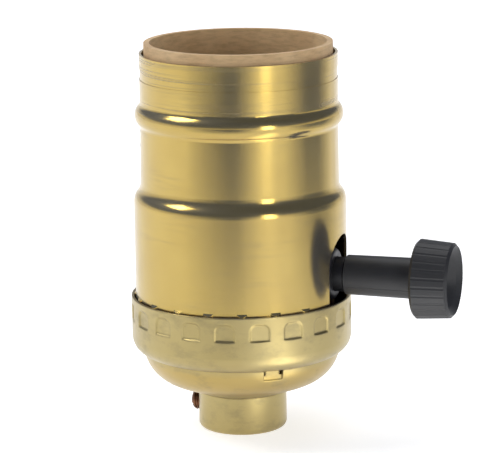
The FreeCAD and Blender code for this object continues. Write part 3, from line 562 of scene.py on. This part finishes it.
def add_room():
    """World that is white near the floor and dim higher up."""
    world = bpy.data.worlds.new("studio")
    bpy.context.scene.world = world
    world.use_nodes = True
    tree = world.node_tree
    direction = tree.nodes.new("ShaderNodeTexCoord")
    split = tree.nodes.new("ShaderNodeSeparateXYZ")
    fade = tree.nodes.new("ShaderNodeValToRGB")
    low, high = fade.color_ramp.elements
    low.position, low.color = ROOM_WHITE_TO, (1, 1, 1, 1)
    high.position, high.color = ROOM_DIM_FROM, (*ROOM_DIM, 1)
    tree.links.new(direction.outputs["Generated"], split.inputs[0])
    tree.links.new(split.outputs["Z"], fade.inputs["Fac"])
    tree.links.new(fade.outputs["Color"], tree.nodes["Background"].inputs["Color"])


# --- camera -------------------------------------------------------------------------
CAMERA_AZIMUTH = math.radians(17.9)
CAMERA_DISTANCE = 446.3 * MM        # from the holder's axis, level
CAMERA_HEIGHT = 131.98 * MM
CAMERA_PITCH = math.radians(12.33)  # down
CAMERA_YAW = math.radians(0.204)
CAMERA_ROLL = math.radians(0.735)
CAMERA_LENS = 195.9
CAMERA_SENSOR = 36


def add_camera():
    turn = CAMERA_YAW - CAMERA_AZIMUTH
    forward = Vector((math.sin(turn) * math.cos(CAMERA_PITCH),
                      math.cos(turn) * math.cos(CAMERA_PITCH), -math.sin(CAMERA_PITCH)))
    level_right = Vector((math.cos(turn), -math.sin(turn), 0))
    level_down = forward.cross(level_right)
    right = math.cos(CAMERA_ROLL) * level_right + math.sin(CAMERA_ROLL) * level_down
    down = math.cos(CAMERA_ROLL) * level_down - math.sin(CAMERA_ROLL) * level_right
    data = bpy.data.cameras.new("camera")
    data.lens = CAMERA_LENS
    data.sensor_width = CAMERA_SENSOR
    data.clip_start = 0.01
    camera = bpy.data.objects.new("camera", data)
    bpy.context.scene.collection.objects.link(camera)
    turned = Matrix((right, -down, -forward)).transposed().to_4x4()
    place = Vector((CAMERA_DISTANCE * math.sin(CAMERA_AZIMUTH),
                    -CAMERA_DISTANCE * math.cos(CAMERA_AZIMUTH), CAMERA_HEIGHT))
    camera.matrix_world = Matrix.Translation(place) @ turned
    bpy.context.scene.camera = camera


# --- lamps and cards ----------------------------------------------------------------
LIGHT_TARGET = Vector((0, 0, 40 * MM))
UPWARDS = Vector((0, 0, 1))
FLAG_GREY = (0.12, 0.14, 0.20, 1)
FLAG_HEIGHT = 58 * MM
FLAG_FULL_FROM = 0.75               # share of a flag's height where its cover is full
BOUNCE_LIFT = 0.3 * MM              # off the floor
DARK, LIT = (0, 0, 0), (1, 1, 1)


def towards(side_deg, up_deg):
    """Direction from the holder, side_deg right of the camera's and up_deg above level."""
    azimuth = CAMERA_AZIMUTH + math.radians(side_deg)
    up = math.radians(up_deg)
    return Vector((math.sin(azimuth) * math.cos(up), -math.cos(azimuth) * math.cos(up),
                   math.sin(up)))


def area_light(name, side_deg, up_deg, distance, size, radiance):
    """Soft box of a given brightness, turned to the holder."""
    data = bpy.data.lights.new(name, "AREA")
    data.shape = "RECTANGLE"
    data.size, data.size_y = size
    data.energy = radiance * math.pi * size[0] * size[1]
    light = bpy.data.objects.new(name, data)
    bpy.context.scene.collection.objects.link(light)
    direction = towards(side_deg, up_deg)
    light.location = LIGHT_TARGET + distance * direction
    light.rotation_mode = "QUATERNION"
    light.rotation_quaternion = direction.to_track_quat("Z", "Y")


def seen_in_reflections_only(card):
    for ray in ("camera", "diffuse", "transmission", "volume_scatter", "shadow"):
        setattr(card, "visible_" + ray, False)


def share_along(n, corner, run, length):
    """How far a point lies from corner along run, as a share of length."""
    coordinates = n.new("TexCoord")
    offset = n.new("VectorMath", operation="SUBTRACT")
    n.link(coordinates.outputs["Object"], offset.inputs[0])
    offset.inputs[1].default_value = corner
    along = n.new("VectorMath", operation="DOT_PRODUCT")
    n.link(offset.outputs["Vector"], along.inputs[0])
    along.inputs[1].default_value = run
    return n.math("DIVIDE", along.outputs["Value"], length)


def thin_out(n, shader, cover):
    """Give the material the shader where cover is 1 and nothing where it is 0."""
    clear = n.new("BsdfTransparent")
    mix = n.new("MixShader")
    n.link(cover, mix.inputs[0])
    n.link(clear.outputs[0], mix.inputs[1])
    n.link(shader.outputs[0], mix.inputs[2])
    n.link(mix.outputs[0], n.output.inputs["Surface"])


def flag_felt(name, corner, run, width, even, low_cover, full_cover):
    """Grey felt, thinned out towards its sides and its foot."""
    n = Nodes(name)
    n.set(Base_Color=FLAG_GREY, Roughness=1.0, Specular_IOR_Level=0.0)
    cover = n.ramp(share_along(n, corner, run, width),
                   [(0.0, DARK), (even[0], LIT), (even[1], LIT), (1.0, DARK)])
    rise = n.range(share_along(n, Vector(), UPWARDS, FLAG_HEIGHT), 0.0, FLAG_FULL_FROM,
                   low_cover, full_cover)
    thin_out(n, n.shader, n.math("MULTIPLY", cover, rise, clamp=True))
    return n.material


def flag(name, side_deg, distance, width, even, low_cover, full_cover):
    """Grey card that stands on the floor and shows in reflections only.

    It is even between two shares of its width, seen from its right end, and thins
    out to both sides; the cover grows from low_cover at the floor to full_cover.
    """
    direction = towards(side_deg, 0)
    across = Vector((-direction.y, direction.x, 0)) * width / 2
    foot = distance * direction
    top = FLAG_HEIGHT * UPWARDS
    card = plane(name, [foot - across, foot + across, foot + across + top, foot - across + top])
    card.data.materials.append(flag_felt(name, foot + across, -across.normalized(), width,
                                         even, low_cover, full_cover))
    seen_in_reflections_only(card)


def bounce_card(side_deg, near, far, width, strength):
    """White card on the floor that lights the cap's rim and the hub in reflections."""
    direction = towards(side_deg, 0)
    across = Vector((-direction.y, direction.x, 0)) * width / 2
    lift = BOUNCE_LIFT * UPWARDS
    start, end = near * direction + lift, far * direction + lift
    card = plane("bounce_card", [start - across, start + across, end + across, end - across])
    n = Nodes("bounce_card")
    glow = n.new("Emission")
    glow.inputs["Strength"].default_value = strength
    sideways = n.ramp(share_along(n, start - across, across.normalized(), width),
                      [(0.0, DARK), (0.45, LIT), (0.55, LIT), (1.0, DARK)])
    outwards = n.ramp(share_along(n, start, direction, far - near),
                      [(0.0, DARK), (0.08, LIT), (0.5, LIT), (1.0, DARK)])
    thin_out(n, glow, n.math("MULTIPLY", sideways, outwards))
    card.data.materials.append(n.material)
    seen_in_reflections_only(card)


add_floor()
add_room()
add_camera()
area_light("overhead_left", side_deg=-91, up_deg=48, distance=0.9, size=(0.34, 0.34), radiance=9)
area_light("front_right", side_deg=31, up_deg=9, distance=0.5, size=(0.105, 0.22), radiance=6.5)
area_light("top_fill", side_deg=170, up_deg=65, distance=1.2, size=(1.1, 1.1), radiance=1.5)
bounce_card(side_deg=35, near=22 * MM, far=105 * MM, width=31 * MM, strength=3.6)
flag("front_flag", side_deg=-20, distance=100 * MM, width=168 * MM, even=(0.32, 0.42),
     low_cover=0.30, full_cover=0.95)
flag("right_flag", side_deg=86, distance=100 * MM, width=150 * MM, even=(0.37, 0.60),
     low_cover=0.25, full_cover=0.95)

# --- end ----------------------------------------------------------------------------
bpy.context.scene.view_settings.view_transform = "Standard"
